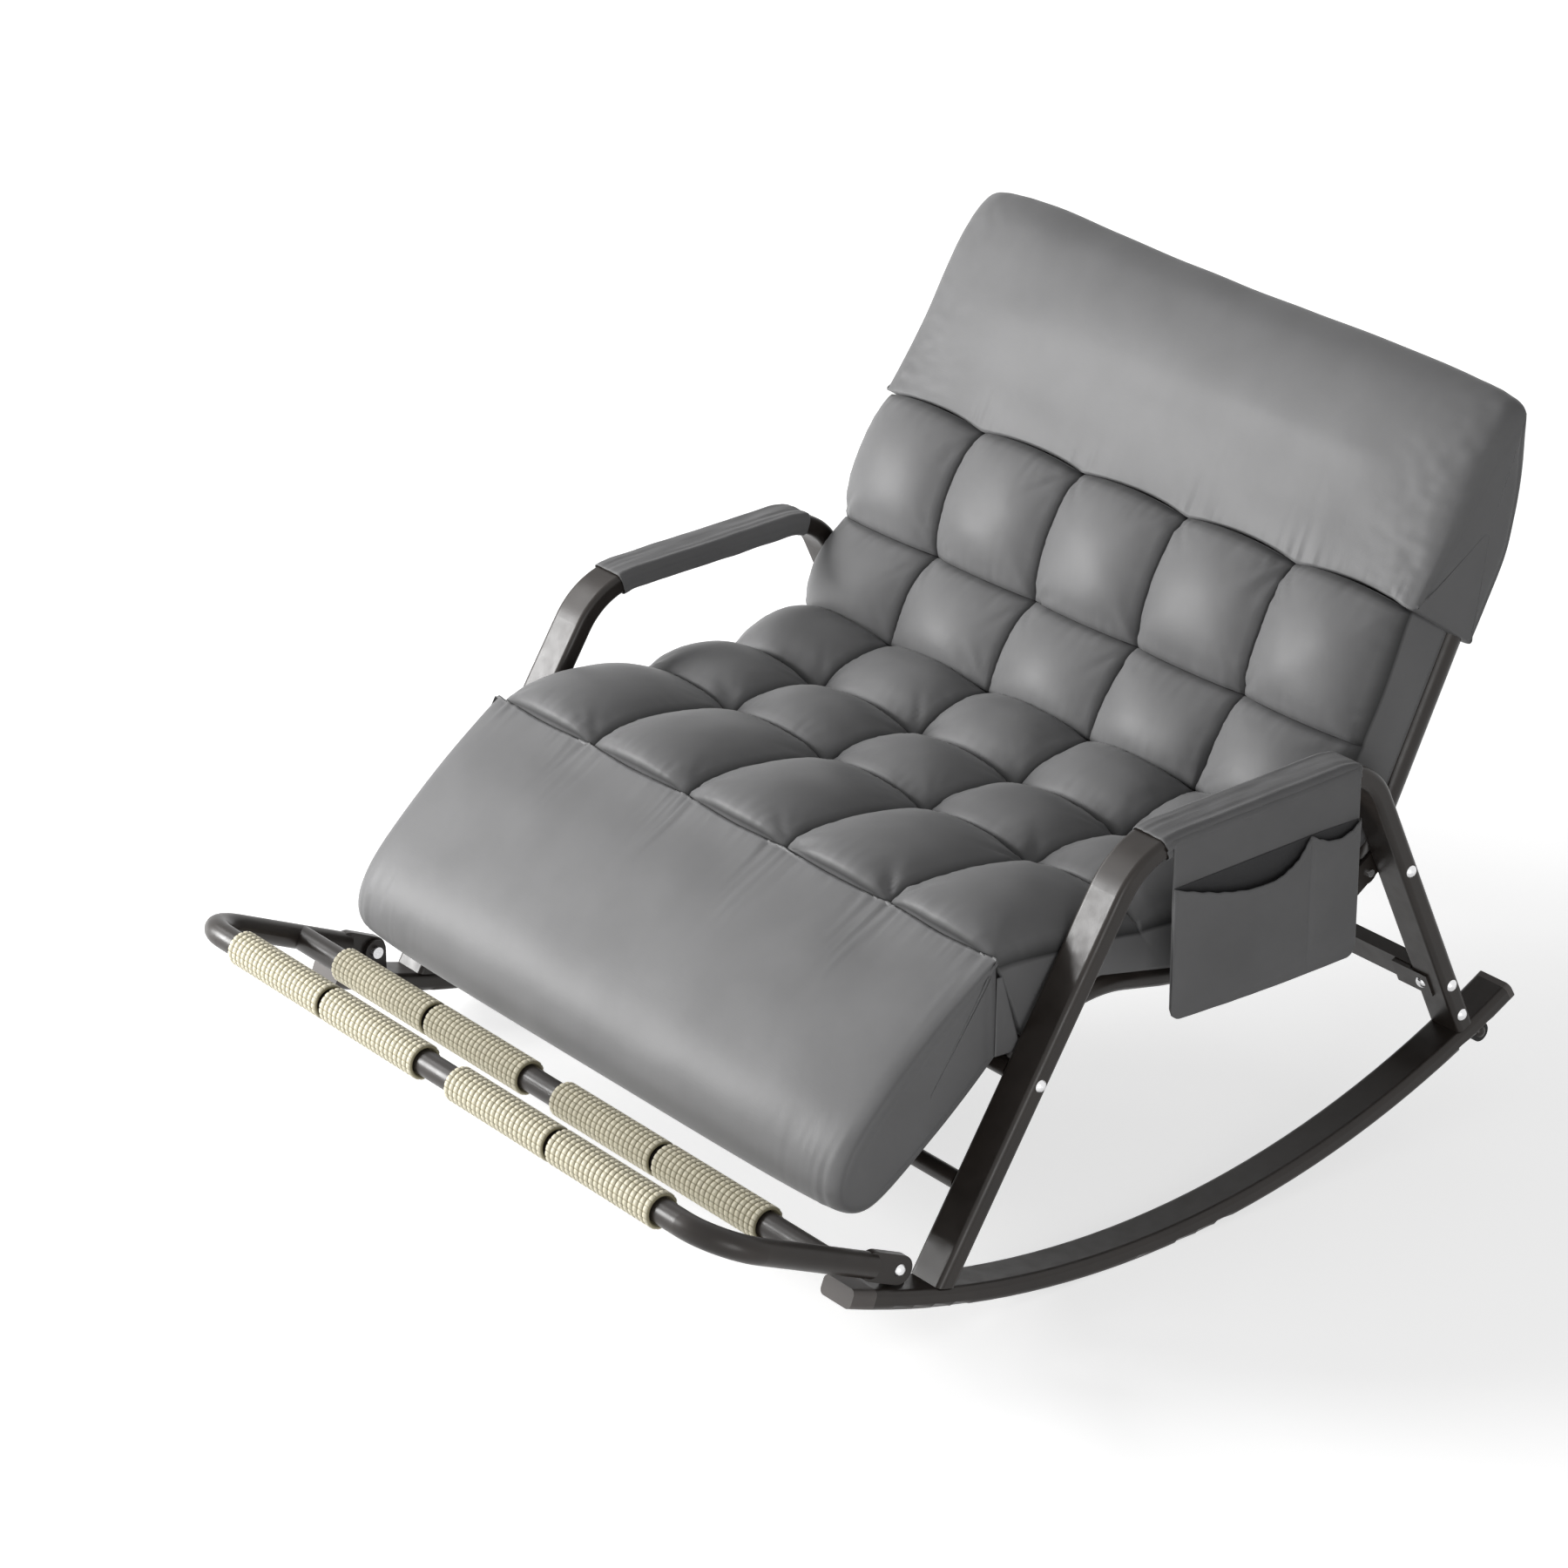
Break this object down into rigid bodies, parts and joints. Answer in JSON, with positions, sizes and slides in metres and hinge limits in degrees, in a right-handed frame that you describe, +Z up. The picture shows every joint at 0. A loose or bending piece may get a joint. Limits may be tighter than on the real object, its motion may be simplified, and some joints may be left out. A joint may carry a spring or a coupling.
{
  "type": "rocking lounge chair",
  "caption": "Wide rocking lounge chair on bow rails with quilted cushions, hinged back, side bag and a hinged footrest with massage rollers.",
  "frame": {"origin": "middle of the chair's footprint on the floor, at rest", "axes": "+Z up, -Y to the chair's front, +X to the sitter's left, where the side bag hangs"},
  "size_m": [1.2296, 1.4095, 1.0316],
  "materials": {
    "frame_paint": "satin black-brown paint",
    "bolt_zinc": "zinc plated",
    "cap_plastic": "fine moulded grain",
    "tip_rubber": "matte",
    "roller_plastic": "ribbed, satin",
    "cushion_cloth": "smooth satin weave",
    "sleeve_cloth": "plain weave",
    "sling_cloth": "coarse sling weave"
  },
  "bodies": {
    "base": {"rail_left": "frame_paint", "rail_right": "frame_paint", "tip_bracket_left": "frame_paint", "tip_bracket_right": "frame_paint", "front_leg_left": "frame_paint", "front_leg_right": "frame_paint", "arm_tube_left": "frame_paint", "arm_tube_right": "frame_paint", "rear_leg_left": "frame_paint", "rear_leg_right": "frame_paint", "front_low_cross_tube": "frame_paint", "rear_low_cross_tube": "frame_paint", "seat_front_cross_tube": "frame_paint", "seat_rear_cross_tube": "frame_paint", "seat_side_tube_left": "frame_paint", "seat_side_tube_right": "frame_paint", "leg_support_loop": "frame_paint", "hinge_plate_left": "frame_paint", "hinge_plate_right": "frame_paint", "footrest_lug_left": "frame_paint", "footrest_lug_right": "frame_paint", "recline_bolt_left": "bolt_zinc", "recline_bolt_right": "bolt_zinc", "leg_bolts_left": "bolt_zinc", "leg_bolts_right": "bolt_zinc", "tab_bolts": "bolt_zinc", "footrest_bolt_left": "bolt_zinc", "footrest_bolt_right": "bolt_zinc", "rail_front_cap_left": "cap_plastic", "rail_front_cap_right": "cap_plastic", "rail_rear_cap_left": "cap_plastic", "rail_rear_cap_right": "cap_plastic", "tip_stop_left": "tip_rubber", "tip_stop_right": "tip_rubber", "leg_bolster": "cushion_cloth", "seat_cushion": "cushion_cloth", "arm_sleeve_left": "sleeve_cloth", "arm_sleeve_right": "sleeve_cloth", "side_bag": "sleeve_cloth", "seat_sling": "sling_cloth"},
    "backrest": {"back_frame": "frame_paint", "back_sling": "sling_cloth", "back_cushion": "cushion_cloth", "head_pillow": "cushion_cloth"},
    "footrest": {"footrest_frame": "frame_paint", "footrest_inner_tube": "frame_paint"},
    "roller_1": {"massage_roller_1": "roller_plastic"},
    "roller_2": {"massage_roller_2": "roller_plastic"},
    "roller_3": {"massage_roller_3": "roller_plastic"},
    "roller_4": {"massage_roller_4": "roller_plastic"},
    "roller_5": {"massage_roller_5": "roller_plastic"},
    "roller_6": {"massage_roller_6": "roller_plastic"},
    "roller_7": {"massage_roller_7": "roller_plastic"},
    "roller_8": {"massage_roller_8": "roller_plastic"}
  },
  "joints": [
    {"name": "back_recline", "type": "hinge", "parent": "base", "child": "backrest", "pos_m": [0, 0.443, 0.405], "axis": [-1, 0, 0], "range_deg": [0, 20]},
    {"name": "footrest_swing", "type": "hinge", "parent": "base", "child": "footrest", "pos_m": [0, -0.392, 0.112], "axis": [-1, 0, 0], "range_deg": [0, 20]},
    {"name": "roller_1_spin", "type": "hinge", "parent": "footrest", "child": "roller_1", "pos_m": [-0.368, -0.67202, 0.23785], "axis": [1, 0, 0], "continuous": true},
    {"name": "roller_2_spin", "type": "hinge", "parent": "footrest", "child": "roller_2", "pos_m": [-0.145, -0.67202, 0.23785], "axis": [1, 0, 0], "continuous": true},
    {"name": "roller_3_spin", "type": "hinge", "parent": "footrest", "child": "roller_3", "pos_m": [0.145, -0.67202, 0.23785], "axis": [1, 0, 0], "continuous": true},
    {"name": "roller_4_spin", "type": "hinge", "parent": "footrest", "child": "roller_4", "pos_m": [0.368, -0.67202, 0.23785], "axis": [1, 0, 0], "continuous": true},
    {"name": "roller_5_spin", "type": "hinge", "parent": "footrest", "child": "roller_5", "pos_m": [-0.368, -0.50784, 0.16406], "axis": [1, 0, 0], "continuous": true},
    {"name": "roller_6_spin", "type": "hinge", "parent": "footrest", "child": "roller_6", "pos_m": [-0.145, -0.50784, 0.16406], "axis": [1, 0, 0], "continuous": true},
    {"name": "roller_7_spin", "type": "hinge", "parent": "footrest", "child": "roller_7", "pos_m": [0.145, -0.50784, 0.16406], "axis": [1, 0, 0], "continuous": true},
    {"name": "roller_8_spin", "type": "hinge", "parent": "footrest", "child": "roller_8", "pos_m": [0.368, -0.50784, 0.16406], "axis": [1, 0, 0], "continuous": true}
  ]
}
